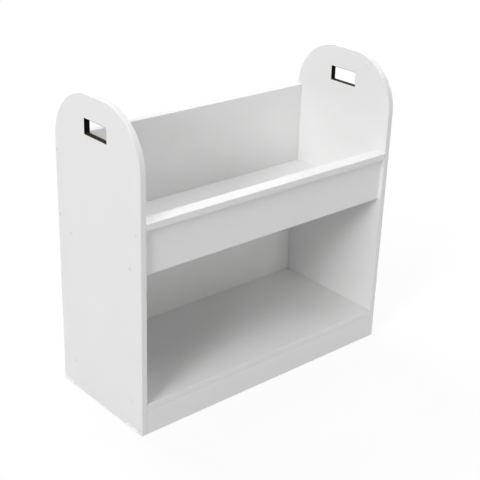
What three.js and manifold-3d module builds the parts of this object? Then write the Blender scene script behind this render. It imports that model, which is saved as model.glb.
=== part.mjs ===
// Picture book browser bin: a white board carcass with an open book bin over an open shelf.
// Millimetres, +Z up, front at -Y. The origin is on the floor under the middle of the whole bin.
import * as THREE from "three";
import { mergeVertices } from "three/addons/utils/BufferGeometryUtils.js";
import Module from "manifold-3d";

// Boards and overall sizes
const bodyWidth = 900; // over the outer faces of the side panels
const sideDepth = 380; // side panel from front edge to rear edge
const sideHeight = 890; // side panel from foot to top
const sideTopRadius = 155; // rounded top corners of a side panel
const boardThickness = 18; // every white board

// Heights and depths of the carcass
const plinthHeight = 75; // foot of the boards to the underside of the base shelf
const sideRise = 151; // side panel above the bin back board
const binBackHeight = 250; // bin back board above the bin floor
const binFrontDepth = 125; // bin floor to the top of the cap rail
const frontBoardDrop = 3; // bin front board below the underside of the bin floor
const capRailDepth = 42; // cap rail from front to rear, centred on the bin front board

// Edging strips glued to the cut edges
const edgingThickness = 2;
const edgingRounding = 1.5; // radius on the two outer corners of a strip
const glueLine = 0.2; // gap between a strip and its board

// Hand slots
const slotWidth = 100;
const slotHeight = 44;
const slotBelowTop = 63; // top of the side panel to the top of the slot
const slotCornerRadius = 3;
const linerThickness = 0.6; // dark strip on the cut faces of the slot

// Thin sheet on the back of the lower compartment
const sheetThickness = 3;
const sheetSideInset = 3; // inside the outer faces of the side panels
const sheetEndInset = 1; // below the top of the bin floor and above the underside of the base shelf

// Glides under the side panels: a pad with a lip up the outer face
const glideLength = 48;
const glidePad = 2;
const glideLip = 8; // height of the lip above the foot of the panel
const glideWall = 1.5;
const glideChamfer = 0.7;
const glideFrontInset = 25; // behind the front edge of the side panel
const glideRearInset = 1; // ahead of the rear edge of the side panel

// Connecting screws, driven through the side panels into the ends of the boards
const screwLength = 50;
const screwHeadRadius = 4.5;
const screwHeadRim = 0.8;
const screwHeadCone = 2;
const screwShankRadius = 3.3;
const screwShankLength = 20;
const screwCoreRadius = 2.5;
const screwTip = 3;
const screwSink = 0.3; // head below the face of the side panel
const screwClearance = 0.3; // between a screw and its hole
const socketAcrossFlats = 4;
const socketDepth = 2.2;

// Places of the screws
const shelfScrewFrontInset = 18; // bin floor and base shelf, behind the bin front board
const shelfScrewRearInset = 43; // bin floor and base shelf, ahead of the bin back board
const frontBoardScrewDrop = 16; // below the cap rail
const backScrewTopInset = 35; // below the top of the bin back board
const backScrewFootInset = 31; // above the foot of the bin back board
const plinthScrewHeight = 14; // above the foot of the plinth

// Wooden dowels
const dowelRadius = 4;
const dowelLength = 25;
const dowelCover = 8; // board left behind a dowel that is seated in its face
const dowelChamfer = 1;
const dowelClearance = 0.3;
const railDowelEndInset = 132; // outer dowels of the cap rail from its ends
const backDowelEndInset = 132; // outer dowels of the bin back board from its ends

// Facets
const topCornerSegments = 12;
const slotCornerSegments = 2;
const roundingSegments = 3;
const turnedSegments = 12;

// Planes worked out from the sizes above
const overallDepth = sideDepth + sheetThickness;
const frontY = -overallDepth / 2;
const rearY = frontY + sideDepth;
const outerX = bodyWidth / 2;
const innerX = outerX - boardThickness;
const footZ = glidePad;
const topZ = footZ + sideHeight;
const topRadius = Math.min(sideTopRadius, sideDepth / 2);
const baseUnderZ = footZ + plinthHeight;
const baseTopZ = baseUnderZ + boardThickness;
const baseMiddleZ = (baseUnderZ + baseTopZ) / 2;
const backTopZ = topZ - sideRise;
const backFrontY = rearY - boardThickness;
const backMiddleY = (backFrontY + rearY) / 2;
const floorTopZ = backTopZ - binBackHeight;
const floorUnderZ = floorTopZ - boardThickness;
const floorMiddleZ = (floorUnderZ + floorTopZ) / 2;
const railTopZ = floorTopZ + binFrontDepth;
const railUnderZ = railTopZ - boardThickness;
const railMiddleZ = (railUnderZ + railTopZ) / 2;
const railRearY = frontY + capRailDepth;
const frontBoardMiddleY = (frontY + railRearY) / 2;
const frontBoardFaceY = frontBoardMiddleY - boardThickness / 2;
const frontBoardRearY = frontBoardMiddleY + boardThickness / 2;
const frontBoardFootZ = floorUnderZ - frontBoardDrop;
const edgedInset = edgingThickness + glueLine;
const rimRadius = Math.min(edgingRounding, edgingThickness - glueLine);
const dowelSeat = boardThickness - dowelCover;

const X = new THREE.Vector3(1, 0, 0);
const Y = new THREE.Vector3(0, 1, 0);
const Z = new THREE.Vector3(0, 0, 1);

// Finishes
const whiteBoard = { color: 0xf0f0ee, roughness: 0.5, metalness: 0 };
const whiteEdging = { color: 0xeeeeec, roughness: 0.42, metalness: 0 };
const darkLiner = { color: 0x1c1510, roughness: 0.7, metalness: 0 };
const whiteSheet = { color: 0xe4e4e1, roughness: 0.6, metalness: 0 };
const whiteNylon = { color: 0xf7f7f5, roughness: 0.38, metalness: 0 };
const paleScrew = { color: 0xd2d2cf, roughness: 0.45, metalness: 0.1 };
const beech = { color: 0xc8a678, roughness: 0.75, metalness: 0 };

const wasm = await Module();
wasm.setup();

// Closed geometry as a solid, for cutting
function solidOf(geometry) {
  const bare = geometry.clone();
  bare.deleteAttribute("normal");
  bare.deleteAttribute("uv");
  const merged = mergeVertices(bare, 1e-4);
  return new wasm.Manifold(
    new wasm.Mesh({
      numProp: 3,
      vertProperties: new Float32Array(merged.attributes.position.array),
      triVerts: new Uint32Array(merged.index.array),
    }),
  );
}

function geometryOf(solid) {
  const mesh = solid.getMesh();
  const geometry = new THREE.BufferGeometry();
  geometry.setAttribute("position", new THREE.BufferAttribute(mesh.vertProperties, 3));
  geometry.setIndex(new THREE.BufferAttribute(mesh.triVerts, 1));
  return geometry;
}

function cut(geometry, cutters) {
  let solid = solidOf(geometry);
  for (const cutter of cutters) {
    solid = solid.subtract(solidOf(cutter));
  }
  return geometryOf(solid);
}

// Geometry modelled in place becomes a mesh that stands at its own centre
function addPiece(parent, name, geometry, finish) {
  const piece = geometry.clone();
  piece.computeBoundingBox();
  const centre = piece.boundingBox.getCenter(new THREE.Vector3());
  piece.translate(-centre.x, -centre.y, -centre.z);
  const flat = piece.index ? piece.toNonIndexed() : piece;
  flat.computeVertexNormals();
  const mesh = new THREE.Mesh(flat, new THREE.MeshStandardMaterial(finish));
  mesh.name = name;
  mesh.position.copy(centre);
  parent.add(mesh);
}

function block(x0, x1, y0, y1, z0, z1) {
  const geometry = new THREE.BoxGeometry(x1 - x0, y1 - y0, z1 - z0);
  return geometry.translate((x0 + x1) / 2, (y0 + y1) / 2, (z0 + z1) / 2);
}

// A board from side panel to side panel
function board(y0, y1, z0, z1, holes = []) {
  return cut(block(-innerX, innerX, y0, y1, z0, z1), holes);
}

// A shape drawn in Y and Z, extruded along X from x0
function extrudeAlongX(shape, x0, length, curveSegments) {
  const geometry = new THREE.ExtrudeGeometry(shape, {
    depth: length,
    bevelEnabled: false,
    curveSegments,
  });
  geometry.applyMatrix4(new THREE.Matrix4().makeBasis(Y, Z, X));
  return geometry.translate(x0, 0, 0);
}

// Side panel outline in Y and Z, drawn inside the real one by inset at the front, top and rear
function sideOutline(inset, foot) {
  const front = frontY + inset;
  const rear = rearY - inset;
  const radius = topRadius - inset;
  const shoulder = topZ - topRadius;
  const shape = new THREE.Shape();
  shape.moveTo(front, foot);
  shape.lineTo(rear, foot);
  shape.lineTo(rear, shoulder);
  shape.absarc(rearY - topRadius, shoulder, radius, 0, Math.PI / 2, false);
  shape.absarc(frontY + topRadius, shoulder, radius, Math.PI / 2, Math.PI, false);
  shape.lineTo(front, foot);
  return shape;
}

// Hand slot outline in Y and Z, drawn inside the cut-out by inset
function slotOutline(inset) {
  const middleY = (frontY + rearY) / 2;
  const y0 = middleY - slotWidth / 2 + inset;
  const y1 = middleY + slotWidth / 2 - inset;
  const z1 = topZ - slotBelowTop - inset;
  const z0 = topZ - slotBelowTop - slotHeight + inset;
  const radius = slotCornerRadius - inset;
  const shape = new THREE.Shape();
  shape.moveTo(y0 + radius, z0);
  shape.lineTo(y1 - radius, z0);
  shape.absarc(y1 - radius, z0 + radius, radius, -Math.PI / 2, 0, false);
  shape.lineTo(y1, z1 - radius);
  shape.absarc(y1 - radius, z1 - radius, radius, 0, Math.PI / 2, false);
  shape.lineTo(y0 + radius, z1);
  shape.absarc(y0 + radius, z1 - radius, radius, Math.PI / 2, Math.PI, false);
  shape.lineTo(y0, z0 + radius);
  shape.absarc(y0 + radius, z0 + radius, radius, Math.PI, Math.PI * 1.5, false);
  return shape;
}

// Side panel board: the outline less its edging, with the hand slot and the fixing holes
function sideBoard(sign, holes) {
  const low = sign < 0 ? -outerX : innerX;
  const outline = sideOutline(edgedInset, footZ);
  const whole = extrudeAlongX(outline, low, boardThickness, topCornerSegments);
  const slot = extrudeAlongX(
    slotOutline(0),
    low - boardThickness,
    3 * boardThickness,
    slotCornerSegments,
  );
  return cut(whole, [slot, ...holes]);
}

// Edging bent round a side panel: the whole panel with rounded rims, less the board that it wraps
function sideEdging(sign) {
  const spareFoot = footZ - boardThickness;
  const low = sign < 0 ? -outerX : innerX;
  const whole = new THREE.ExtrudeGeometry(sideOutline(0, spareFoot), {
    depth: boardThickness - 2 * rimRadius,
    bevelEnabled: true,
    bevelThickness: rimRadius,
    bevelSize: rimRadius,
    bevelOffset: -rimRadius,
    bevelSegments: roundingSegments,
    curveSegments: topCornerSegments,
  });
  whole.applyMatrix4(new THREE.Matrix4().makeBasis(Y, Z, X));
  whole.translate(low + rimRadius, 0, 0);
  const inside = extrudeAlongX(
    sideOutline(edgingThickness, spareFoot - boardThickness),
    low - boardThickness,
    3 * boardThickness,
    topCornerSegments,
  );
  const below = block(
    low - boardThickness,
    low + 2 * boardThickness,
    frontY - boardThickness,
    rearY + boardThickness,
    spareFoot - 2 * boardThickness,
    footZ,
  );
  return cut(whole, [inside, below]);
}

function slotLiner(sign) {
  const ring = slotOutline(glueLine);
  ring.holes.push(slotOutline(glueLine + linerThickness));
  return extrudeAlongX(ring, sign < 0 ? -outerX : innerX, boardThickness, slotCornerSegments);
}

// Straight edging strip from side to side. It stands out from the edge at (y, z) along outY or outZ.
function straightEdging(y, z, outY, outZ) {
  const half = boardThickness / 2;
  const shoulder = edgingThickness - rimRadius;
  const profile = new THREE.Shape();
  profile.moveTo(half, 0);
  profile.lineTo(half, shoulder);
  profile.absarc(half - rimRadius, shoulder, rimRadius, 0, Math.PI / 2, false);
  profile.absarc(rimRadius - half, shoulder, rimRadius, Math.PI / 2, Math.PI, false);
  profile.lineTo(-half, 0);
  const strip = new THREE.ExtrudeGeometry(profile, {
    depth: 2 * innerX,
    bevelEnabled: false,
    curveSegments: roundingSegments,
  });
  const out = new THREE.Vector3(0, outY, outZ);
  const across = new THREE.Vector3().crossVectors(out, X);
  strip.applyMatrix4(new THREE.Matrix4().makeBasis(across, out, X));
  return strip.translate(-innerX, y, z);
}

// Glide: an L profile in X and Z, extruded along Y
function glide(sign, y0) {
  const wallX = outerX + glideWall;
  const lipTop = footZ + glideLip;
  const profile = new THREE.Shape();
  profile.moveTo(innerX, 0);
  profile.lineTo(wallX - glideChamfer, 0);
  profile.lineTo(wallX, glideChamfer);
  profile.lineTo(wallX, lipTop - glideChamfer);
  profile.lineTo(wallX - glideChamfer, lipTop);
  profile.lineTo(outerX, lipTop);
  profile.lineTo(outerX, footZ);
  profile.lineTo(innerX, footZ);
  const geometry = new THREE.ExtrudeGeometry(profile, { depth: glideLength, bevelEnabled: false });
  geometry.applyMatrix4(new THREE.Matrix4().makeBasis(X, Z, Y.clone().negate()));
  geometry.translate(0, y0 + glideLength, 0);
  return sign < 0 ? turnedAbout(geometry, y0 + glideLength / 2) : geometry;
}

// Half a turn about the upright line through the middle of the bin's width at the given depth
function turnedAbout(geometry, y) {
  geometry.translate(0, -y, 0);
  geometry.rotateZ(Math.PI);
  return geometry.translate(0, y, 0);
}

// Connecting screw pointing down -Y from its head at the origin, made larger all over by grow,
// with the rim of the head carried up to mouth
function screwBody(grow, mouth) {
  const headFoot = -screwHeadRim - screwHeadCone;
  const profile = [
    new THREE.Vector2(0, -screwLength - grow),
    new THREE.Vector2(screwCoreRadius + grow, screwTip - screwLength - grow),
    new THREE.Vector2(screwCoreRadius + grow, -screwShankLength - grow),
    new THREE.Vector2(screwShankRadius + grow, -screwShankLength - grow),
    new THREE.Vector2(screwShankRadius + grow, headFoot - grow),
    new THREE.Vector2(screwHeadRadius + grow, -screwHeadRim - grow),
    new THREE.Vector2(screwHeadRadius + grow, mouth),
    new THREE.Vector2(0, mouth),
  ];
  return new THREE.LatheGeometry(profile, turnedSegments);
}

// Screw with its hexagon socket
function screw() {
  const radius = socketAcrossFlats / 2 / Math.cos(Math.PI / 6);
  const socket = new THREE.CylinderGeometry(radius, radius, 2 * socketDepth, 6);
  return cut(screwBody(0, 0), [socket]);
}

// Countersunk hole for a screw, open through the outer face of the side panel
function screwHole() {
  return screwBody(screwClearance, screwSink + screwClearance);
}

// A screw or its hole, turned so that its head is at the outer face of the side panel
function placeScrew(geometry, sign, y, z) {
  geometry.rotateZ((-sign * Math.PI) / 2);
  return geometry.translate(sign * (outerX - screwSink), y, z);
}

function dowelBody() {
  const half = dowelLength / 2;
  const profile = [
    new THREE.Vector2(0, -half),
    new THREE.Vector2(dowelRadius - dowelChamfer, -half),
    new THREE.Vector2(dowelRadius, dowelChamfer - half),
    new THREE.Vector2(dowelRadius, half - dowelChamfer),
    new THREE.Vector2(dowelRadius - dowelChamfer, half),
    new THREE.Vector2(0, half),
  ];
  return new THREE.LatheGeometry(profile, turnedSegments);
}

function dowelHole() {
  const radius = dowelRadius + dowelClearance;
  const length = dowelLength + 2 * dowelClearance;
  return new THREE.CylinderGeometry(radius, radius, length, turnedSegments);
}

// Dowel upright at (x, y), seated in the face at z of the board below (seat -1) or above (seat 1)
function uprightDowel(geometry, x, y, z, seat) {
  geometry.rotateX(Math.PI / 2);
  return geometry.translate(x, y, z + seat * (dowelSeat - dowelLength / 2));
}

// Dowel along X, seated in the inner face of a side panel
function levelDowel(geometry, sign, y, z) {
  geometry.rotateZ(Math.PI / 2);
  return geometry.translate(sign * (innerX + dowelSeat - dowelLength / 2), y, z);
}

// Screw places on a side panel, each with the board that it holds
const shelfScrewRows = [
  { end: "front", y: frontBoardRearY + shelfScrewFrontInset },
  { end: "rear", y: backFrontY - shelfScrewRearInset },
];
const screwPlaces = [
  ...shelfScrewRows.map(({ end, y }) => ({
    holds: "floor",
    name: `floor_${end}`,
    y,
    z: floorMiddleZ,
  })),
  ...shelfScrewRows.map(({ end, y }) => ({
    holds: "base",
    name: `base_${end}`,
    y,
    z: baseMiddleZ,
  })),
  {
    holds: "frontBoard",
    name: "bin_front",
    y: frontBoardMiddleY,
    z: railUnderZ - frontBoardScrewDrop,
  },
  {
    holds: "backBoard",
    name: "bin_back_top",
    y: backMiddleY,
    z: backTopZ - backScrewTopInset,
  },
  {
    holds: "backBoard",
    name: "bin_back_foot",
    y: backMiddleY,
    z: floorTopZ + backScrewFootInset,
  },
  {
    holds: "plinth",
    name: "plinth",
    y: frontY + boardThickness / 2,
    z: footZ + plinthScrewHeight,
  },
];

const sides = [
  { name: "left", sign: -1 },
  { name: "right", sign: 1 },
];

function screwHoles(holds, ends = sides) {
  const places = screwPlaces.filter((place) => !holds || place.holds === holds);
  return ends.flatMap(({ sign }) =>
    places.map(({ y, z }) => placeScrew(screwHole(), sign, y, z)),
  );
}

// Dowels: along the cap rail, along the foot of the bin back board, and at the ends of the rear plinth
const rowEnds = [
  { name: "left", step: -1 },
  { name: "middle", step: 0 },
  { name: "right", step: 1 },
];
const plinthDowelZ = footZ + plinthHeight / 2;
const railDowel = (geometry, step) =>
  uprightDowel(geometry, step * (innerX - railDowelEndInset), frontBoardMiddleY, railUnderZ, 1);
const backDowel = (geometry, step) =>
  uprightDowel(geometry, step * (innerX - backDowelEndInset), backMiddleY, floorTopZ, -1);
const plinthDowel = (geometry, sign) => levelDowel(geometry, sign, backMiddleY, plinthDowelZ);
const railDowelHoles = () => rowEnds.map(({ step }) => railDowel(dowelHole(), step));
const backDowelHoles = () => rowEnds.map(({ step }) => backDowel(dowelHole(), step));

const bin = new THREE.Group();

// Side panels with their edging, slot liners and glides
for (const { name, sign } of sides) {
  const side = new THREE.Group();
  const holes = [
    ...screwHoles(null, [{ sign }]),
    plinthDowel(dowelHole(), sign),
  ];
  addPiece(side, `${name}_side_panel`, sideBoard(sign, holes), whiteBoard);
  addPiece(side, `${name}_side_edging`, sideEdging(sign), whiteEdging);
  addPiece(side, `${name}_slot_liner`, slotLiner(sign), darkLiner);
  const frontGlide = glide(sign, frontY + glideFrontInset);
  const rearGlide = glide(sign, rearY - glideRearInset - glideLength);
  addPiece(side, `${name}_front_glide`, frontGlide, whiteNylon);
  addPiece(side, `${name}_rear_glide`, rearGlide, whiteNylon);
  bin.add(side);
}

// Base: shelf on two plinths, with the thin sheet behind the lower compartment
const base = new THREE.Group();
const baseShelf = board(frontY + edgedInset, rearY, baseUnderZ, baseTopZ, screwHoles("base"));
const baseEdging = straightEdging(frontY + edgingThickness, baseMiddleZ, -1, 0);
const frontPlinth = board(frontY, frontY + boardThickness, footZ, baseUnderZ, screwHoles("plinth"));
const rearPlinthHoles = sides.map(({ sign }) => plinthDowel(dowelHole(), sign));
const rearPlinth = board(backFrontY, rearY, footZ, baseUnderZ, rearPlinthHoles);
const sheet = block(
  sheetSideInset - outerX,
  outerX - sheetSideInset,
  rearY,
  rearY + sheetThickness,
  baseUnderZ + sheetEndInset,
  floorTopZ - sheetEndInset,
);
addPiece(base, "base_shelf", baseShelf, whiteBoard);
addPiece(base, "base_shelf_edging", baseEdging, whiteEdging);
addPiece(base, "front_plinth", frontPlinth, whiteBoard);
addPiece(base, "rear_plinth", rearPlinth, whiteBoard);
addPiece(base, "lower_back_sheet", sheet, whiteSheet);
bin.add(base);

// Book bin: floor, back board, front board and the cap rail on top of it
const bookBin = new THREE.Group();
const floorHoles = [...screwHoles("floor"), ...backDowelHoles()];
const binFloor = board(frontBoardRearY, rearY, floorUnderZ, floorTopZ, floorHoles);
const backHoles = [...screwHoles("backBoard"), ...backDowelHoles()];
const backBoard = board(backFrontY, rearY, floorTopZ, backTopZ - edgedInset, backHoles);
const backEdging = straightEdging(backMiddleY, backTopZ - edgingThickness, 0, 1);
const frontHoles = [...screwHoles("frontBoard"), ...railDowelHoles()];
const frontBoard = board(
  frontBoardFaceY,
  frontBoardRearY,
  frontBoardFootZ + edgedInset,
  railUnderZ,
  frontHoles,
);
const frontBoardEdging = straightEdging(frontBoardMiddleY, frontBoardFootZ + edgingThickness, 0, -1);
const capRail = board(
  frontY + edgedInset,
  railRearY - edgedInset,
  railUnderZ,
  railTopZ,
  railDowelHoles(),
);
const railFrontEdging = straightEdging(frontY + edgingThickness, railMiddleZ, -1, 0);
const railRearEdging = straightEdging(railRearY - edgingThickness, railMiddleZ, 1, 0);
addPiece(bookBin, "bin_floor", binFloor, whiteBoard);
addPiece(bookBin, "bin_back_board", backBoard, whiteBoard);
addPiece(bookBin, "bin_back_edging", backEdging, whiteEdging);
addPiece(bookBin, "bin_front_board", frontBoard, whiteBoard);
addPiece(bookBin, "bin_front_edging", frontBoardEdging, whiteEdging);
addPiece(bookBin, "cap_rail", capRail, whiteBoard);
addPiece(bookBin, "cap_rail_front_edging", railFrontEdging, whiteEdging);
addPiece(bookBin, "cap_rail_rear_edging", railRearEdging, whiteEdging);
bin.add(bookBin);

// Screws and dowels
const fixings = new THREE.Group();
for (const { name: side, sign } of sides) {
  for (const { name, y, z } of screwPlaces) {
    addPiece(fixings, `${side}_screw_${name}`, placeScrew(screw(), sign, y, z), paleScrew);
  }
  addPiece(fixings, `rear_plinth_dowel_${side}`, plinthDowel(dowelBody(), sign), beech);
}
for (const { name, step } of rowEnds) {
  addPiece(fixings, `cap_rail_dowel_${name}`, railDowel(dowelBody(), step), beech);
  addPiece(fixings, `bin_back_dowel_${name}`, backDowel(dowelBody(), step), beech);
}
bin.add(fixings);

export default bin;
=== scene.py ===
import math

import bpy
from bpy.props import FloatProperty, FloatVectorProperty, PointerProperty
from mathutils import Matrix, Vector


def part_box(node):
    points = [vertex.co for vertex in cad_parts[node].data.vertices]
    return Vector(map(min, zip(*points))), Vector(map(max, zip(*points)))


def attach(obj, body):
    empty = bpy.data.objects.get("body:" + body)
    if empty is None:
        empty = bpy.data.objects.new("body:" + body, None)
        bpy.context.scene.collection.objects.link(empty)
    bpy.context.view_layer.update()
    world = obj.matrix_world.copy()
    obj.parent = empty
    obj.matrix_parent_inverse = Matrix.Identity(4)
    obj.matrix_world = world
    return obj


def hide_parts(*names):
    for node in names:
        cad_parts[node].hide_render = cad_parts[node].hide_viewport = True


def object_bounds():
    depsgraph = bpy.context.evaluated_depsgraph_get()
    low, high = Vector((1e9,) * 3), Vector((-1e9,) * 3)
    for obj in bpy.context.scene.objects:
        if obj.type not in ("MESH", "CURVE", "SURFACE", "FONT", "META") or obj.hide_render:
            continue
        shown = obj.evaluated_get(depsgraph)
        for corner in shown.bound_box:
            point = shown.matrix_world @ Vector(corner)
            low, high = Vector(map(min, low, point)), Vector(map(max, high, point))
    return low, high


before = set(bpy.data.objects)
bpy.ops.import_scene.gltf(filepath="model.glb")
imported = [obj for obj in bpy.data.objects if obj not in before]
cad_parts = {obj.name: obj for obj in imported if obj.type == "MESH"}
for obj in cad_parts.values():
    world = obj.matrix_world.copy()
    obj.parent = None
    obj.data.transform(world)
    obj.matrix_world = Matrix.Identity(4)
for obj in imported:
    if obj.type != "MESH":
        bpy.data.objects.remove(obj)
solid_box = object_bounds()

bl_info = {
    "name": "Picture book browser bin",
    "version": (1, 0, 0),
    "blender": (4, 5, 0),
    "location": "3D View > Sidebar > Browser Bin",
    "description": "Models and finishes the boards, edging, hand slots and fixings of a book browser bin",
    "category": "Object",
}

# Everything is in metres, and the front of the bin is at -Y.
SIDES = ("left", "right")
FRONT = Vector((0.0, -1.0, 0.0))
REAR = Vector((0.0, 1.0, 0.0))
UP = Vector((0.0, 0.0, 1.0))
DOWN = Vector((0.0, 0.0, -1.0))

TINY = 1e-5  # smaller than any size of the bin
FACING = 0.9  # a face looks along an axis where at least this much of its normal does
SMOOTH_ANGLE = math.radians(40.0)  # edges that turn more than this stay sharp

# Facets across each rounding, and sides of each turned piece
TOP_CORNER_FACETS = 64
SLOT_CORNER_FACETS = 6
SLOT_RIM_FACETS = 3
EDGING_FACETS = 4
BOARD_FACETS = 2
GLIDE_FACETS = 3
SCREW_SIDES = 32
SOCKET_SIDES = 6
PIN_SIDES = 16

# Sockets of a Mix node that mixes two colours
MIX_FACTOR = 0
MIX_FIRST = 6
MIX_SECOND = 7
MIX_RESULT = 2

WHITE = (1.0, 1.0, 1.0, 1.0)
SENSOR_WIDTH = 36.0  # in millimetres

# Boards between the side panels, each with the ways in which its edges carry an edging strip
BOARDS = {
    "base_shelf": [FRONT],
    "front_plinth": [],
    "rear_plinth": [],
    "bin_floor": [],
    "bin_back_board": [UP],
    "bin_front_board": [DOWN],
    "cap_rail": [FRONT, REAR],
}

# Straight edging strips, each with the way that it faces
STRIPS = {
    "base_shelf_edging": FRONT,
    "bin_back_edging": UP,
    "bin_front_edging": DOWN,
    "cap_rail_front_edging": FRONT,
    "cap_rail_rear_edging": REAR,
}

# Soft lamps: where each stands, the side of its square and its power in watts
LAMPS = {
    "left_softbox": ((-8.8, -3.5, 4.8), 2.6, 345.0),
    "left_far_softbox": ((-16.5, -3.6, 9.0), 4.8, 555.0),
    "left_high_softbox": ((-3.0, 0.0, 4.0), 3.0, 40.0),
    "top_softbox": ((0.0, 0.0, 4.4), 3.0, 40.0),
    "top_front_softbox": ((0.0, -1.8, 4.4), 1.2, 11.0),
    "front_softbox": ((0.8, -18.4, 3.4), 6.4, 520.0),
    "right_high_softbox": ((3.0, -1.0, 4.0), 3.0, 50.0),
    "right_softbox": ((4.2, 2.0, 2.0), 3.0, 60.0),
    "back_softbox": ((0.0, 3.6, 3.8), 3.0, 100.0),
}

# Ends of the screws' names, the same on both sides
SCREW_PLACES = (
    "floor_front",
    "floor_rear",
    "base_front",
    "base_rear",
    "bin_front",
    "bin_back_top",
    "bin_back_foot",
    "plinth",
)


# Settings
class BinSizes(bpy.types.PropertyGroup):
    """Sizes of the pieces that their boxes in the frame don't give."""

    top_radius: FloatProperty(
        name="Top corner radius",
        description="Rounded top corners of a side panel, measured over the edging",
        default=0.155,
        unit="LENGTH",
    )
    edging: FloatProperty(
        name="Edging thickness",
        description="Thickness of the strip on the cut edges of the boards",
        default=0.002,
        unit="LENGTH",
    )
    rim_radius: FloatProperty(
        name="Edging rounding",
        description="Radius on the two outer corners of an edging strip",
        default=0.0015,
        unit="LENGTH",
    )
    seam: FloatProperty(
        name="Seam",
        description="Hairline between a board and its edging or slot liner",
        default=0.00005,
        unit="LENGTH",
    )
    board_easing: FloatProperty(
        name="Board easing",
        description="Rounding of the bare edges of a board",
        default=0.001,
        unit="LENGTH",
    )
    slot_radius: FloatProperty(
        name="Slot corner radius",
        description="Rounded corners of a hand slot",
        default=0.003,
        unit="LENGTH",
    )
    slot_easing: FloatProperty(
        name="Slot easing",
        description="Rounding of the rim of a hand slot",
        default=0.0008,
        unit="LENGTH",
    )
    liner: FloatProperty(
        name="Liner thickness",
        description="Thickness of the dark strip in a hand slot",
        default=0.0007,
        unit="LENGTH",
    )
    glide_easing: FloatProperty(
        name="Glide easing",
        description="Rounding of the edges of a plastic glide",
        default=0.0006,
        unit="LENGTH",
    )
    screw_rim: FloatProperty(
        name="Screw head rim",
        description="Straight rim of a screw head above its cone",
        default=0.0008,
        unit="LENGTH",
    )
    screw_cone: FloatProperty(
        name="Screw head cone",
        description="Height of the cone under a screw head",
        default=0.002,
        unit="LENGTH",
    )
    screw_shank: FloatProperty(
        name="Screw shank radius",
        description="Radius of the plain shank inside the side panel",
        default=0.0033,
        unit="LENGTH",
    )
    screw_shank_length: FloatProperty(
        name="Screw shank length",
        description="Reach of the plain shank below the top of the head",
        default=0.02,
        unit="LENGTH",
    )
    screw_core: FloatProperty(
        name="Screw core radius",
        description="Radius of the screw inside the end of a board",
        default=0.0025,
        unit="LENGTH",
    )
    screw_tip_length: FloatProperty(
        name="Screw tip length",
        description="Height of the cone at the tip of a screw",
        default=0.003,
        unit="LENGTH",
    )
    screw_tip_radius: FloatProperty(
        name="Screw tip radius",
        description="Flat end of a screw",
        default=0.0005,
        unit="LENGTH",
    )
    screw_clearance: FloatProperty(
        name="Screw clearance",
        description="Gap between a screw head and its countersunk hole",
        default=0.0002,
        unit="LENGTH",
    )
    socket_radius: FloatProperty(
        name="Socket radius",
        description="Hexagon socket of a screw, over its corners",
        default=0.0023,
        unit="LENGTH",
    )
    socket_depth: FloatProperty(
        name="Socket depth",
        description="Depth of the hexagon socket",
        default=0.0006,
        unit="LENGTH",
    )
    pin_radius: FloatProperty(
        name="Pin head radius",
        description="Head of a pin in the lower back sheet",
        default=0.0022,
        unit="LENGTH",
    )
    pin_stand: FloatProperty(
        name="Pin head height",
        description="How far a pin head stands out of the lower back sheet",
        default=0.0006,
        unit="LENGTH",
    )
    pin_rim: FloatProperty(
        name="Pin head rim",
        description="Straight rim of a pin head below its crown",
        default=0.0003,
        unit="LENGTH",
    )
    pin_crown: FloatProperty(
        name="Pin crown radius",
        description="Flat crown of a pin head",
        default=0.00132,
        unit="LENGTH",
    )
    pin_shank: FloatProperty(
        name="Pin shank radius",
        description="Radius of a pin inside the lower back sheet",
        default=0.0011,
        unit="LENGTH",
    )
    pin_depth: FloatProperty(
        name="Pin depth",
        description="How far a pin reaches into the lower back sheet",
        default=0.0012,
        unit="LENGTH",
    )
    pin_spacing: FloatProperty(
        name="Pin spacing",
        description="Aimed distance between the pins round the lower back sheet",
        default=0.11,
        unit="LENGTH",
    )


class BinFinishes(bpy.types.PropertyGroup):
    """Colours of the finishes."""

    board: FloatVectorProperty(
        name="Board",
        description="White laminate on the boards",
        default=(0.830, 0.830, 0.828),
        subtype="COLOR",
    )
    edging: FloatVectorProperty(
        name="Edging",
        description="White edging strip",
        default=(0.820, 0.820, 0.818),
        subtype="COLOR",
    )
    liner: FloatVectorProperty(
        name="Slot liner",
        description="Dark strip in the hand slots",
        default=(0.056, 0.034, 0.018),
        subtype="COLOR",
    )
    sheet: FloatVectorProperty(
        name="Back sheet",
        description="White face of the lower back sheet",
        default=(0.800, 0.800, 0.795),
        subtype="COLOR",
    )
    glide: FloatVectorProperty(
        name="Glide",
        description="Moulded plastic of the glides",
        default=(0.95, 0.95, 0.94),
        subtype="COLOR",
    )
    screw: FloatVectorProperty(
        name="Screw",
        description="Pale lacquer on the screws and pins",
        default=(0.78, 0.78, 0.77),
        subtype="COLOR",
    )
    beech: FloatVectorProperty(
        name="Dowel",
        description="Bare beech of the dowels",
        default=(0.58, 0.38, 0.19),
        subtype="COLOR",
    )


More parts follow.
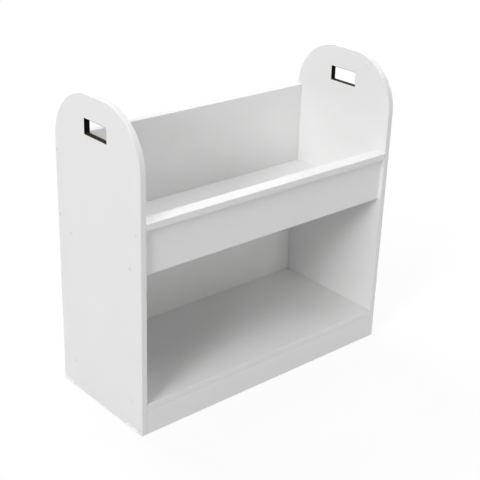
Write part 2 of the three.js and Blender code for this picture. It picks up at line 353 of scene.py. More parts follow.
class StageSettings(bpy.types.PropertyGroup):
    """Camera, lamps and floor."""

    camera_place: FloatVectorProperty(
        name="Camera place",
        description="Where the camera stands",
        default=(-1.8146, -2.0930, 1.6523),
        subtype="TRANSLATION",
        unit="LENGTH",
    )
    camera_yaw: FloatProperty(
        name="Camera yaw",
        description="Turn of the camera from +Y towards +X",
        default=0.72636,
        unit="ROTATION",
    )
    camera_pitch: FloatProperty(
        name="Camera pitch",
        description="Tilt of the camera above the horizon",
        default=-0.42835,
        unit="ROTATION",
    )
    camera_roll: FloatProperty(
        name="Camera roll",
        description="Turn of the camera about its own axis",
        default=0.035118,
        unit="ROTATION",
    )
    camera_lens: FloatProperty(
        name="Lens",
        description="Focal length on a sensor 36 mm wide",
        default=78.645,
        unit="CAMERA",
    )
    floor_size: FloatProperty(
        name="Floor size",
        description="Side of the square floor",
        default=60.0,
        unit="LENGTH",
    )
    floor_colour: FloatVectorProperty(
        name="Floor",
        description="Pale floor as it lights the bin",
        default=(0.80, 0.80, 0.80),
        subtype="COLOR",
    )
    lamp_level: FloatProperty(
        name="Lamp level",
        description="Share of its full power that every lamp gives",
        default=1.0,
        subtype="FACTOR",
    )
    surround: FloatProperty(
        name="Surround",
        description="Strength of the even light from all round",
        default=0.01,
    )
    shadow_reach: FloatProperty(
        name="Shadow reach",
        description="Radius of the floor round the bin that shows its shadow",
        default=1.6,
        unit="LENGTH",
    )
    shadow_depth: FloatProperty(
        name="Shadow depth",
        description="Share of the floor's brightness that the shadow can take away",
        default=0.16,
        subtype="FACTOR",
    )


# Places on the bin
def middle(node):
    """The middle of a node's box."""
    low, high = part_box(node)
    return (low + high) / 2


def grown(low, high, amount):
    """A box made larger on every side by the amount along each axis."""
    margin = Vector(amount)
    return low - margin, high + margin


def on_side(low, high, way, *points):
    """True where all the points lie on the side of the box that faces this way."""
    limit = max(low.dot(way), high.dot(way)) - TINY
    return all(point.dot(way) > limit for point in points)


def along_x(a, b):
    """True for an edge that runs along X."""
    return abs(a.x - b.x) > TINY


def evenly(start, end, spacing):
    """Places from start to end, about this far apart."""
    steps = round((end - start) / spacing)
    return [start + (end - start) * step / steps for step in range(steps + 1)]


# Modelling helpers
def named(piece, name):
    """The piece, with this name on it and on its mesh."""
    piece.name = name
    piece.data.name = name
    return piece


def activate(piece):
    """Makes the piece the only one selected, and the active one."""
    bpy.ops.object.select_all(action="DESELECT")
    piece.select_set(True)
    bpy.context.view_layer.objects.active = piece


def settle(piece):
    """Moves the piece's place, turn and size into its mesh."""
    activate(piece)
    bpy.ops.object.transform_apply(location=True, rotation=True, scale=True)


def face_outwards(piece):
    """Turns all faces of the piece outwards."""
    activate(piece)
    bpy.ops.object.mode_set(mode="EDIT")
    bpy.ops.mesh.select_all(action="SELECT")
    bpy.ops.mesh.normals_make_consistent(inside=False)
    bpy.ops.object.mode_set(mode="OBJECT")


def add_block(name, low, high):
    """A cube from corner to corner."""
    bpy.ops.object.select_all(action="DESELECT")
    bpy.ops.mesh.primitive_cube_add(size=1.0, location=(low + high) / 2, scale=high - low)
    piece = named(bpy.context.active_object, name)
    settle(piece)
    return piece


def choose(piece, kind, wanted):
    """Leaves the piece in edit mode with the edges or faces selected that pass the test.

    An edge is tested by its two ends, and a face by its normal and centre.
    """
    activate(piece)
    bpy.ops.object.mode_set(mode="EDIT")
    bpy.ops.mesh.select_mode(type=kind)
    bpy.ops.mesh.select_all(action="DESELECT")
    bpy.ops.object.mode_set(mode="OBJECT")
    mesh = piece.data
    if kind == "EDGE":
        for edge in mesh.edges:
            edge.select = wanted(*(mesh.vertices[i].co for i in edge.vertices))
    else:
        for face in mesh.polygons:
            face.select = wanted(face.normal, face.center)
    bpy.ops.object.mode_set(mode="EDIT")


def round_edges(piece, radius, facets, wanted):
    """Rounds the edges that pass the test."""
    choose(piece, "EDGE", wanted)
    bpy.ops.mesh.bevel(offset=radius, segments=facets, profile=0.5, affect="EDGES")
    bpy.ops.object.mode_set(mode="OBJECT")


def apply_modifier(piece, kind, **settings):
    """Adds one modifier with these settings and applies it."""
    activate(piece)
    modifier = piece.modifiers.new(kind.title(), kind)
    for name, value in settings.items():
        setattr(modifier, name, value)
    bpy.ops.object.modifier_apply(modifier=modifier.name)


def cut_out(piece, cutter):
    """Cuts the cutter's shape out of the piece and removes the cutter."""
    apply_modifier(piece, "BOOLEAN", object=cutter, operation="DIFFERENCE", solver="EXACT")
    bpy.data.objects.remove(cutter)


def hollow(piece, thickness, is_open):
    """Takes away the faces that pass the test and thickens the others inwards."""
    choose(piece, "FACE", is_open)
    bpy.ops.mesh.delete(type="FACE")
    bpy.ops.object.mode_set(mode="OBJECT")
    apply_modifier(piece, "SOLIDIFY", thickness=thickness, offset=-1.0, use_even_offset=True)


def copy_of(piece, name):
    """A copy with its own mesh, selected and active."""
    activate(piece)
    bpy.ops.object.duplicate(linked=False)
    return named(bpy.context.active_object, name)


def mirrored(piece, name):
    """A copy on the other side of the bin."""
    twin = copy_of(piece, name)
    twin.scale.x = -1.0
    settle(twin)
    face_outwards(twin)
    return twin


def joined(pieces, name):
    """The pieces made into one."""
    whole = pieces[0]
    activate(whole)
    for piece in pieces:
        piece.select_set(True)
    bpy.ops.object.join()
    return named(whole, name)


def turned(name, rings, sides):
    """A piece turned about Z: a disc drawn out ring by ring, each ring at its height and radius."""
    height, radius = rings[0]
    bpy.ops.object.select_all(action="DESELECT")
    bpy.ops.mesh.primitive_circle_add(vertices=sides, radius=radius, fill_type="NGON")
    piece = named(bpy.context.active_object, name)
    piece.location.z = height
    settle(piece)
    bpy.ops.object.mode_set(mode="EDIT")
    bpy.ops.mesh.select_all(action="SELECT")
    for next_height, next_radius in rings[1:]:
        step = (0.0, 0.0, next_height - height)
        share = next_radius / radius
        bpy.ops.mesh.extrude_region_move(TRANSFORM_OT_translate={"value": step})
        bpy.ops.transform.resize(
            value=(share, share, 1.0),
            center_override=(0.0, 0.0, next_height),
        )
        height, radius = next_height, next_radius
    bpy.ops.object.mode_set(mode="OBJECT")
    face_outwards(piece)
    return piece


def finish_piece(piece, slot, *nodes):
    """Smooths the piece's shading, gives it its finish and lets it stand for its solids."""
    activate(piece)
    bpy.ops.object.shade_smooth_by_angle(angle=SMOOTH_ANGLE)
    apply_modifier(piece, "WEIGHTED_NORMAL", keep_sharp=True)
    piece.data.materials.clear()
    piece.data.materials.append(finish_for(slot))
    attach(piece, "root")
    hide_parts(*nodes)


def finish_pair(left_piece, right_name, slot, node):
    """Mirrors a piece of the left side panel for the right one and finishes both."""
    right_piece = mirrored(left_piece, right_name)
    for side, piece in zip(SIDES, (left_piece, right_piece)):
        finish_piece(piece, slot, f"{side}_{node}")


# Material helpers
def new_finish(name):
    """A new material, with its node tree, its shader and its Object coordinates."""
    material = bpy.data.materials.new(name)
    material.use_nodes = True
    tree = material.node_tree
    shader = tree.nodes["Principled BSDF"]
    place = tree.nodes.new("ShaderNodeTexCoord").outputs["Object"]
    return material, tree, shader, place


def noise(tree, place, scale, detail):
    """Soft noise from 0 to 1 with about this many features in a metre."""
    node = tree.nodes.new("ShaderNodeTexNoise")
    node.inputs["Scale"].default_value = scale
    node.inputs["Detail"].default_value = detail
    tree.links.new(place, node.inputs["Vector"])
    return node.outputs["Fac"]


def streaks(tree, place, scale, detail):
    """Noise with its own number of features in a metre along each axis."""
    mapping = tree.nodes.new("ShaderNodeMapping")
    mapping.inputs["Scale"].default_value = scale
    tree.links.new(place, mapping.inputs["Vector"])
    return noise(tree, mapping.outputs["Vector"], scale=1.0, detail=detail)


def spread(tree, value, low=0.0, high=1.0, start=0.3, end=0.7):
    """The value's range from start to end, where most of a noise lies, spread from low to high."""
    node = tree.nodes.new("ShaderNodeMapRange")
    node.inputs["From Min"].default_value = start
    node.inputs["From Max"].default_value = end
    node.inputs["To Min"].default_value = low
    node.inputs["To Max"].default_value = high
    tree.links.new(value, node.inputs["Value"])
    return node.outputs["Result"]


def summed(tree, first, second, weight):
    """The first value plus a share of the second."""
    node = tree.nodes.new("ShaderNodeMath")
    node.operation = "MULTIPLY_ADD"
    tree.links.new(second, node.inputs[0])
    node.inputs[1].default_value = weight
    tree.links.new(first, node.inputs[2])
    return node.outputs["Value"]


def tinted(tree, factor, colour, share):
    """The colour, going to this share of itself where the factor is 1."""
    node = tree.nodes.new("ShaderNodeMix")
    node.data_type = "RGBA"
    dark = [channel * share for channel in colour]
    node.inputs[MIX_FIRST].default_value = (*colour, 1.0)
    node.inputs[MIX_SECOND].default_value = (*dark, 1.0)
    tree.links.new(factor, node.inputs[MIX_FACTOR])
    return node.outputs[MIX_RESULT]


def dress(tree, shader, colour, roughness, height, depth):
    """Links a colour, a roughness and a relief of this depth to the shader."""
    bump = tree.nodes.new("ShaderNodeBump")
    bump.inputs["Strength"].default_value = 1.0
    bump.inputs["Distance"].default_value = depth
    tree.links.new(height, bump.inputs["Height"])
    tree.links.new(bump.outputs["Normal"], shader.inputs["Normal"])
    tree.links.new(colour, shader.inputs["Base Color"])
    tree.links.new(roughness, shader.inputs["Roughness"])


# Finishes
def pearl_laminate(name, colour):
    """White laminate: fine pearl stipple, a little cloudiness and faint smears of handling."""
    material, tree, shader, place = new_finish(name)
    clouds = noise(tree, place, scale=5.0, detail=3.0)
    stipple = noise(tree, place, scale=620.0, detail=2.0)
    smears = streaks(tree, place, scale=(9.0, 14.0, 30.0), detail=4.0)
    tone = summed(tree, spread(tree, clouds, high=0.7), spread(tree, stipple), weight=0.3)
    sheen = spread(tree, stipple, low=0.41, high=0.51)
    handled = spread(tree, smears, start=0.45, end=0.75)
    dress(
        tree,
        shader,
        colour=tinted(tree, tone, colour, share=0.975),
        roughness=summed(tree, sheen, handled, weight=0.06),
        height=stipple,
        depth=0.00004,
    )
    return material


def satin_edging(name, colour):
    """Edging strip: smoother than the laminate, with a slight ripple from being pressed on."""
    material, tree, shader, place = new_finish(name)
    ripple = noise(tree, place, scale=90.0, detail=2.0)
    grain = noise(tree, place, scale=1500.0, detail=1.0)
    dress(
        tree,
        shader,
        colour=tinted(tree, ripple, colour, share=0.975),
        roughness=spread(tree, grain, low=0.30, high=0.42),
        height=summed(tree, ripple, grain, weight=0.2),
        depth=0.00006,
    )
    return material


def dark_strip(name, colour):
    """Slot liner: dull and fibrous, with painted light making it lighter brown along its foot and painted
    shade making it almost black above.
    """
    material, tree, shader, place = new_finish(name)
    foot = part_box("left_slot_liner")[0].z
    painted_light_below = foot + 0.001
    painted_shade_above = foot + 0.004
    parts = tree.nodes.new("ShaderNodeSeparateXYZ")
    tree.links.new(place, parts.inputs["Vector"])
    # Painted light and shade: the colour is lighter brown on the upward foot of the slot and goes almost
    # black higher up.
    painted_shade = spread(tree, parts.outputs["Z"], start=painted_light_below, end=painted_shade_above)
    fibre = streaks(tree, place, scale=(120.0, 700.0, 700.0), detail=3.0)
    flecks = noise(tree, place, scale=260.0, detail=3.0)
    tone = summed(tree, spread(tree, fibre, high=0.5), spread(tree, flecks), weight=0.3)
    dress(
        tree,
        shader,
        colour=tinted(tree, summed(tree, tone, painted_shade, weight=0.75), colour, share=0.04),
        roughness=spread(tree, flecks, low=0.8, high=0.95),
        height=summed(tree, fibre, flecks, weight=0.5),
        depth=0.0001,
    )
    shader.inputs["Specular IOR Level"].default_value = 0.1
    return material


def painted_hardboard(name, colour):
    """Back sheet: thin white paint over hardboard, with the fine weave that the press leaves."""
    material, tree, shader, place = new_finish(name)
    clouds = noise(tree, place, scale=12.0, detail=4.0)
    weave_x = streaks(tree, place, scale=(900.0, 30.0, 120.0), detail=1.0)
    weave_z = streaks(tree, place, scale=(120.0, 30.0, 900.0), detail=1.0)
    dress(
        tree,
        shader,
        colour=tinted(tree, clouds, colour, share=0.955),
        roughness=spread(tree, weave_x, low=0.48, high=0.62),
        height=summed(tree, weave_x, weave_z, weight=1.0),
        depth=0.00005,
    )
    return material


def moulded_nylon(name, colour):
    """Glides: smooth white plastic with faint flow marks and scratches from the floor."""
    material, tree, shader, place = new_finish(name)
    flow = streaks(tree, place, scale=(300.0, 60.0, 300.0), detail=3.0)
    scratches = streaks(tree, place, scale=(2200.0, 160.0, 900.0), detail=2.0)
    dress(
        tree,
        shader,
        colour=tinted(tree, flow, colour, share=0.96),
        roughness=spread(tree, scratches, low=0.28, high=0.45),
        height=scratches,
        depth=0.00003,
    )
    return material


def pale_lacquer(name, colour):
    """Screws and pins: thin pale lacquer over steel, rubbed in places."""
    material, tree, shader, place = new_finish(name)
    rubbed = noise(tree, place, scale=700.0, detail=3.0)
    grain = noise(tree, place, scale=3000.0, detail=1.0)
    dress(
        tree,
        shader,
        colour=tinted(tree, spread(tree, rubbed), colour, share=0.86),
        roughness=spread(tree, rubbed, low=0.32, high=0.5),
        height=grain,
        depth=0.00002,
    )
    shader.inputs["Metallic"].default_value = 0.15
    return material


def bare_beech(name, colour):
    """Dowels: bare beech with short dark flecks along the grain."""
    material, tree, shader, place = new_finish(name)
    grain = streaks(tree, place, scale=(500.0, 900.0, 500.0), detail=4.0)
    flecks = streaks(tree, place, scale=(1500.0, 2500.0, 350.0), detail=1.0)
    marks = spread(tree, flecks, start=0.55, end=0.7)
    tone = summed(tree, spread(tree, grain, high=0.6), marks, weight=0.4)
    dress(
        tree,
        shader,
        colour=tinted(tree, tone, colour, share=0.6),
        roughness=spread(tree, grain, low=0.6, high=0.8),
        height=grain,
        depth=0.00008,
    )
    return material


# The finish of each material slot: the function that makes it and the setting with its colour
FINISHES = {
    "white_board": (pearl_laminate, "board"),
    "white_edging": (satin_edging, "edging"),
    "dark_liner": (dark_strip, "liner"),
    "white_sheet": (painted_hardboard, "sheet"),
    "white_nylon": (moulded_nylon, "glide"),
    "pale_screw": (pale_lacquer, "screw"),
    "beech_dowel": (bare_beech, "beech"),
}


def finish_for(slot):
    """The finish of a material slot, made the first time that it is asked for."""
    name = f"{slot}_finish"
    material = bpy.data.materials.get(name)
    if not material:
        maker, setting = FINISHES[slot]
        material = maker(name, getattr(bpy.context.scene.bin_finishes, setting))
    return material


# Shapes that several pieces share
def arched_block(name, low, high, radius):
    """A board on edge whose two top corners are rounded off."""
    piece = add_block(name, low, high)
    round_edges(
        piece,
        radius,
        TOP_CORNER_FACETS,
        lambda a, b: along_x(a, b) and on_side(low, high, UP, a, b),
    )
    return piece


def slot_block(name, low, high, radius):
    """A block with rounded corners that fills a hand slot."""
    piece = add_block(name, low, high)
    round_edges(piece, radius, SLOT_CORNER_FACETS, along_x)
    return piece


def screw_rings(sizes, node, grow=0.0, mouth=0.0):
    """Heights and radii of a screw that points down from its head, made larger all over by grow.

    The mouth is how far the outline goes on above the head.
    """
    low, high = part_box(node)
    length = high.x - low.x
    head = (high.y - low.y) / 2
    cone_foot = sizes.screw_rim + sizes.screw_cone
    return [
        (mouth, head + grow),
        (-sizes.screw_rim - grow, head + grow),
        (-cone_foot - grow, sizes.screw_shank + grow),
        (-sizes.screw_shank_length - grow, sizes.screw_shank + grow),
        (-sizes.screw_shank_length - grow, sizes.screw_core + grow),
        (sizes.screw_tip_length - length - grow, sizes.screw_core + grow),
        (-length - grow, sizes.screw_tip_radius),
    ]


def place_screw(piece, node):
    """Turns a screw or its hole so that its head lies where the node's does."""
    low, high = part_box(node)
    centre = middle(node)
    on_right = centre.x > 0.0
    piece.rotation_euler.y = math.pi / 2 if on_right else -math.pi / 2
    piece.location = (high.x if on_right else low.x, centre.y, centre.z)
    settle(piece)


# Operators
class BIN_OT_side_panels(bpy.types.Operator):
    """Model the two side boards with their rounded tops, hand slots and countersunk holes"""

    bl_idname = "browser_bin.side_panels"
    bl_label = "Side Panels"

    def execute(self, context):
        sizes = context.scene.bin_sizes
        edging_low, edging_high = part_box("left_side_edging")
        inset = sizes.edging + sizes.seam
        low = edging_low + Vector((0.0, inset, 0.0))
        high = edging_high - Vector((0.0, inset, inset))
        panel = arched_block("left_side_board", low, high, sizes.top_radius - inset)
        self.cut_slot(panel, sizes)
        cutters = [self.hole_cutter(f"left_screw_{place}", sizes) for place in SCREW_PLACES]
        cut_out(panel, joined(cutters, "hole_cutters"))
        finish_pair(panel, "right_side_board", "white_board", "side_panel")
        return {"FINISHED"}

    def cut_slot(self, panel, sizes):
        """Cuts the hand slot and rounds its rim on both faces."""
        slot_low, slot_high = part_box("left_slot_liner")
        across = slot_high.x - slot_low.x
        cutter_box = grown(slot_low, slot_high, (across, sizes.seam, sizes.seam))
        cut_out(panel, slot_block("slot_cutter", *cutter_box, sizes.slot_radius))
        rim_low, rim_high = grown(slot_low, slot_high, (0.0, 2 * sizes.seam, 2 * sizes.seam))

        def on_rim(a, b):
            inside = all(
                rim_low.y < end.y < rim_high.y and rim_low.z < end.z < rim_high.z for end in (a, b)
            )
            return inside and not along_x(a, b)

        round_edges(panel, sizes.slot_easing, SLOT_RIM_FACETS, on_rim)

    def hole_cutter(self, node, sizes):
        """The shape of the countersunk hole of one screw."""
        rings = screw_rings(sizes, node, grow=sizes.screw_clearance, mouth=sizes.screw_rim)
        cutter = turned("hole_cutter", rings, SCREW_SIDES)
        place_screw(cutter, node)
        return cutter


class BIN_OT_side_edging(bpy.types.Operator):
    """Model the strips that are bent round the side panels"""

    bl_idname = "browser_bin.side_edging"
    bl_label = "Side Edging"

    def execute(self, context):
        sizes = context.scene.bin_sizes
        radius = sizes.top_radius
        low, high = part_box("left_side_edging")
        shoulder = high.z - radius
        strip = arched_block("left_side_strip", low, high, radius)
        hollow(
            strip,
            sizes.edging,
            lambda normal, centre: abs(normal.x) > FACING or normal.z < -FACING,
        )

        def depth(point):
            """How far a point lies inside the outline of the panel."""
            from_side = min(point.y - low.y, high.y - point.y)
            if point.z < shoulder:
                return from_side
            across = max(radius - from_side, 0.0)
            return radius - math.hypot(across, point.z - shoulder)

        def on_rim(a, b):
            outside = max(depth(a), depth(b)) < sizes.edging / 2
            return outside and not along_x(a, b)

        round_edges(strip, sizes.rim_radius, EDGING_FACETS, on_rim)
        finish_pair(strip, "right_side_strip", "white_edging", "side_edging")
        return {"FINISHED"}


class BIN_OT_slot_liners(bpy.types.Operator):
    """Model the dark strips on the cut faces of the hand slots"""

    bl_idname = "browser_bin.slot_liners"
    bl_label = "Slot Liners"

    def execute(self, context):
        sizes = context.scene.bin_sizes
        low, high = grown(*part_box("left_slot_liner"), (-sizes.slot_easing, 0.0, 0.0))
        liner = slot_block("left_slot_strip", low, high, sizes.slot_radius)
        hollow(liner, sizes.liner, lambda normal, centre: abs(normal.x) > FACING)
        finish_pair(liner, "right_slot_strip", "dark_liner", "slot_liner")
        return {"FINISHED"}


class BIN_OT_boards(bpy.types.Operator):
    """Model the boards between the side panels, with their bare edges eased"""

    bl_idname = "browser_bin.boards"
    bl_label = "Boards"

    def execute(self, context):
        sizes = context.scene.bin_sizes
        for node, edged_ways in BOARDS.items():
            low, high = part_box(node)
            board = add_block(f"{node}_white", low, high)
            round_edges(
                board,
                sizes.board_easing,
                BOARD_FACETS,
                lambda a, b: not any(on_side(low, high, way, a, b) for way in edged_ways),
            )
            finish_piece(board, "white_board", node)
        return {"FINISHED"}


class BIN_OT_straight_edging(bpy.types.Operator):
    """Model the straight edging strips, with their two outer corners rounded"""

    bl_idname = "browser_bin.straight_edging"
    bl_label = "Straight Edging"

    def execute(self, context):
        sizes = context.scene.bin_sizes
        for node, way in STRIPS.items():
            low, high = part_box(node)
            strip = add_block(f"{node}_strip", low, high)
            round_edges(
                strip,
                sizes.rim_radius,
                EDGING_FACETS,
                lambda a, b: along_x(a, b) and on_side(low, high, way, a, b),
            )
            finish_piece(strip, "white_edging", node)
        return {"FINISHED"}


class BIN_OT_back_sheet(bpy.types.Operator):
    """Model the thin sheet behind the lower compartment and the pins that hold it"""

    bl_idname = "browser_bin.back_sheet"
    bl_label = "Back Sheet"

    def execute(self, context):
        sizes = context.scene.bin_sizes
        low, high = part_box("lower_back_sheet")
        sheet = add_block("lower_back_panel", low, high)
        round_edges(sheet, sizes.board_easing, BOARD_FACETS, lambda a, b: True)
        finish_piece(sheet, "white_sheet", "lower_back_sheet")
        self.add_pins(sizes, high.y)
        return {"FINISHED"}

    def add_pins(self, sizes, rear):
        """Pins along the edges of the sheet, over the boards that it lies on, as one piece."""
        rings = [
            (-sizes.pin_depth, sizes.pin_shank),
            (0.0, sizes.pin_shank),
            (0.0, sizes.pin_radius),
            (sizes.pin_rim, sizes.pin_radius),
            (sizes.pin_stand, sizes.pin_crown),
        ]
        pin = turned("sheet_pin", rings, PIN_SIDES)
        pin.rotation_euler.x = -math.pi / 2
        settle(pin)
        left = middle("left_side_panel").x
        right = middle("right_side_panel").x
        foot = middle("base_shelf").z
        top = middle("bin_floor").z
        across = evenly(left, right, sizes.pin_spacing)
        between = evenly(foot, top, sizes.pin_spacing)[1:-1]
        places = [(x, z) for z in (foot, top) for x in across]
        places += [(x, z) for x in (left, right) for z in between]
        pins = []
        for x, z in places:
            twin = copy_of(pin, "sheet_pin_copy")
            twin.location = (x, rear, z)
            settle(twin)
            pins.append(twin)
        bpy.data.objects.remove(pin)
        finish_piece(joined(pins, "back_sheet_pins"), "pale_screw")


class BIN_OT_glides(bpy.types.Operator):
    """Model the plastic glides: a pad under the panel with a lip up its outer face"""

    bl_idname = "browser_bin.glides"
    bl_label = "Glides"

    def execute(self, context):
        glide = self.right_front_glide(context.scene.bin_sizes)
        start = middle("right_front_glide")
        glide.location = (-start.x, -start.y, 0.0)
        settle(glide)
        for side in SIDES:
            for end in ("front", "rear"):
                node = f"{side}_{end}_glide"
                centre = middle(node)
                twin = copy_of(glide, f"{side}_{end}_foot")
                twin.rotation_euler.z = 0.0 if side == "right" else math.pi
                twin.location = (centre.x, centre.y, 0.0)
                settle(twin)
                finish_piece(twin, "white_nylon", node)
        bpy.data.objects.remove(glide)
        return {"FINISHED"}

    def right_front_glide(self, sizes):
        """A pad with its lip drawn up beside the panel and its outer edges eased."""
        low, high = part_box("right_front_glide")
        panel_low, panel_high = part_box("right_side_panel")
        glide = add_block("glide", low, Vector((high.x, high.y, panel_low.z)))
        bpy.ops.object.mode_set(mode="EDIT")
        bpy.ops.mesh.select_all(action="SELECT")
        bpy.ops.mesh.bisect(plane_co=(panel_high.x, 0.0, 0.0), plane_no=(1.0, 0.0, 0.0))
        bpy.ops.object.mode_set(mode="OBJECT")
        choose(glide, "FACE", lambda normal, centre: normal.z > FACING and centre.x > panel_high.x)
        lip = (0.0, 0.0, high.z - panel_low.z)
        bpy.ops.mesh.extrude_region_move(TRANSFORM_OT_translate={"value": lip})
        bpy.ops.object.mode_set(mode="OBJECT")
        lip_start = panel_high.x + TINY
        round_edges(glide, sizes.glide_easing, GLIDE_FACETS, lambda a, b: max(a.x, b.x) > lip_start)
        return glide


class BIN_OT_screws(bpy.types.Operator):
    """Model a connecting screw with its hexagon socket and set one in each hole"""

    bl_idname = "browser_bin.screws"
    bl_label = "Screws"

    def execute(self, context):
        sizes = context.scene.bin_sizes
        rings = screw_rings(sizes, f"left_screw_{SCREW_PLACES[0]}")
        screw = turned("connecting_screw", rings, SCREW_SIDES)
        depth = sizes.socket_depth
        socket = [(height, sizes.socket_radius) for height in (depth, -depth)]
        cut_out(screw, turned("socket_cutter", socket, SOCKET_SIDES))
        for side in SIDES:
            for place in SCREW_PLACES:
                node = f"{side}_screw_{place}"
                twin = copy_of(screw, f"{node}_pale")
                place_screw(twin, node)
                finish_piece(twin, "pale_screw", node)
        bpy.data.objects.remove(screw)
        return {"FINISHED"}


class BIN_OT_dowels(bpy.types.Operator):
    """Give the dowels between the boards their beech finish"""

    bl_idname = "browser_bin.dowels"
    bl_label = "Dowels"

    def execute(self, context):
        beech = finish_for("beech_dowel")
        for name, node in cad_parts.items():
            if "dowel" in name:
                node.data.materials.clear()
                node.data.materials.append(beech)
        return {"FINISHED"}


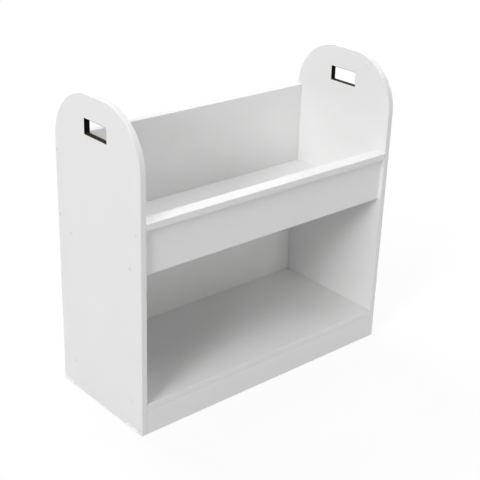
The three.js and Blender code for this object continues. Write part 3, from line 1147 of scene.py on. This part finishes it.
class BIN_OT_stage(bpy.types.Operator):
    """Set the floor, the soft lamps, the even surround and the camera"""

    bl_idname = "browser_bin.stage"
    bl_label = "Stage"

    def execute(self, context):
        settings = context.scene.bin_stage
        context.scene.view_settings.view_transform = "Standard"
        self.add_floor(settings)
        self.add_surround(context.scene, settings)
        for name, (place, size, power) in LAMPS.items():
            self.add_lamp(name, Vector(place), size, power * settings.lamp_level)
        self.add_camera(context.scene, settings)
        return {"FINISHED"}

    def seen_directly(self, tree):
        """1 for rays from the camera and for those that gloss or glass sends on, and 0 for light."""
        path = tree.nodes.new("ShaderNodeLightPath")
        seen = path.outputs["Is Camera Ray"]
        for name in ("Is Glossy Ray", "Is Transmission Ray"):
            either = tree.nodes.new("ShaderNodeMath")
            either.operation = "MAXIMUM"
            tree.links.new(seen, either.inputs[0])
            tree.links.new(path.outputs[name], either.inputs[1])
            seen = either.outputs["Value"]
        return seen

    def add_floor(self, settings):
        """A pale floor that looks white and still takes the shadow of the bin."""
        bpy.ops.object.select_all(action="DESELECT")
        bpy.ops.mesh.primitive_plane_add(size=settings.floor_size)
        floor = named(bpy.context.active_object, "studio_floor")
        floor.data.materials.append(self.floor_finish(settings))

    def floor_finish(self, settings):
        """Plain and pale to the light. The camera sees white, with a shadow that fades round the bin."""
        material, tree, shader, place = new_finish("studio_floor")
        tree.nodes.remove(shader)
        plain = tree.nodes.new("ShaderNodeBsdfDiffuse")
        plain.inputs["Color"].default_value = (*settings.floor_colour, 1.0)
        distance = tree.nodes.new("ShaderNodeVectorMath")
        distance.operation = "LENGTH"
        tree.links.new(place, distance.inputs[0])
        reach = settings.shadow_reach
        depth = settings.shadow_depth
        fading = spread(
            tree, distance.outputs["Value"], low=depth, high=0.0, start=reach / 2, end=reach
        )
        shadow = tree.nodes.new("ShaderNodeBsdfDiffuse")
        tree.links.new(fading, shadow.inputs["Color"])
        glow = tree.nodes.new("ShaderNodeEmission")
        remaining = spread(tree, fading, low=1.0, high=1.0 - depth, start=0.0, end=depth)
        tree.links.new(remaining, glow.inputs["Strength"])
        shown = tree.nodes.new("ShaderNodeAddShader")
        tree.links.new(shadow.outputs["BSDF"], shown.inputs[0])
        tree.links.new(glow.outputs["Emission"], shown.inputs[1])
        mix = tree.nodes.new("ShaderNodeMixShader")
        tree.links.new(self.seen_directly(tree), mix.inputs["Fac"])
        tree.links.new(plain.outputs["BSDF"], mix.inputs[1])
        tree.links.new(shown.outputs["Shader"], mix.inputs[2])
        tree.links.new(mix.outputs["Shader"], tree.nodes["Material Output"].inputs["Surface"])
        return material

    def add_surround(self, scene, settings):
        """Even light from all round, which looks white to the camera."""
        world = bpy.data.worlds.new("studio_surround")
        world.use_nodes = True
        scene.world = world
        tree = world.node_tree
        light = tree.nodes["Background"]
        light.inputs["Color"].default_value = WHITE
        light.inputs["Strength"].default_value = settings.surround
        white = tree.nodes.new("ShaderNodeBackground")
        white.inputs["Color"].default_value = WHITE
        white.inputs["Strength"].default_value = 1.0
        mix = tree.nodes.new("ShaderNodeMixShader")
        tree.links.new(self.seen_directly(tree), mix.inputs["Fac"])
        tree.links.new(light.outputs["Background"], mix.inputs[1])
        tree.links.new(white.outputs["Background"], mix.inputs[2])
        tree.links.new(mix.outputs["Shader"], tree.nodes["World Output"].inputs["Surface"])

    def add_lamp(self, name, place, size, power):
        """A square lamp that points at the middle of the bin and isn't seen itself."""
        low, high = solid_box
        data = bpy.data.lights.new(name, "AREA")
        data.shape = "SQUARE"
        data.size = size
        data.energy = power
        lamp = bpy.data.objects.new(name, data)
        bpy.context.scene.collection.objects.link(lamp)
        lamp.location = place
        lamp.rotation_euler = ((low + high) / 2 - place).to_track_quat("-Z", "Y").to_euler()
        lamp.visible_camera = False

    def add_camera(self, scene, settings):
        """The camera at the viewing angle of the photograph."""
        data = bpy.data.cameras.new("photo_camera")
        data.sensor_width = SENSOR_WIDTH
        data.lens = settings.camera_lens
        camera = bpy.data.objects.new("photo_camera", data)
        scene.collection.objects.link(camera)
        camera.matrix_world = (
            Matrix.Translation(settings.camera_place)
            @ Matrix.Rotation(-settings.camera_yaw, 4, "Z")
            @ Matrix.Rotation(math.pi / 2 + settings.camera_pitch, 4, "X")
            @ Matrix.Rotation(settings.camera_roll, 4, "Z")
        )
        scene.camera = camera


class BIN_PT_panel(bpy.types.Panel):
    """Steps and settings of the browser bin"""

    bl_idname = "BIN_PT_panel"
    bl_label = "Browser Bin"
    bl_space_type = "VIEW_3D"
    bl_region_type = "UI"
    bl_category = "Browser Bin"

    def draw(self, context):
        layout = self.layout
        for step in STEPS:
            layout.operator(step.bl_idname)
        for name, group in GROUPS.items():
            column = layout.column(align=True)
            for setting in group.__annotations__:
                column.prop(getattr(context.scene, name), setting)


STEPS = (
    BIN_OT_side_panels,
    BIN_OT_side_edging,
    BIN_OT_slot_liners,
    BIN_OT_boards,
    BIN_OT_straight_edging,
    BIN_OT_back_sheet,
    BIN_OT_glides,
    BIN_OT_screws,
    BIN_OT_dowels,
    BIN_OT_stage,
)
GROUPS = {
    "bin_sizes": BinSizes,
    "bin_finishes": BinFinishes,
    "bin_stage": StageSettings,
}


def register():
    """Registers the settings, the operators and the panel."""
    for name, group in GROUPS.items():
        bpy.utils.register_class(group)
        setattr(bpy.types.Scene, name, PointerProperty(type=group))
    for step in STEPS:
        bpy.utils.register_class(step)
    bpy.utils.register_class(BIN_PT_panel)


def unregister():
    """Takes them away again."""
    bpy.utils.unregister_class(BIN_PT_panel)
    for step in reversed(STEPS):
        bpy.utils.unregister_class(step)
    for name, group in reversed(GROUPS.items()):
        delattr(bpy.types.Scene, name)
        bpy.utils.unregister_class(group)


def main():
    """Builds the bin step by step."""
    register()
    bpy.ops.browser_bin.side_panels()
    bpy.ops.browser_bin.side_edging()
    bpy.ops.browser_bin.slot_liners()
    bpy.ops.browser_bin.boards()
    bpy.ops.browser_bin.straight_edging()
    bpy.ops.browser_bin.back_sheet()
    bpy.ops.browser_bin.glides()
    bpy.ops.browser_bin.screws()
    bpy.ops.browser_bin.dowels()
    bpy.ops.browser_bin.stage()


if __name__ == "__main__":
    main()
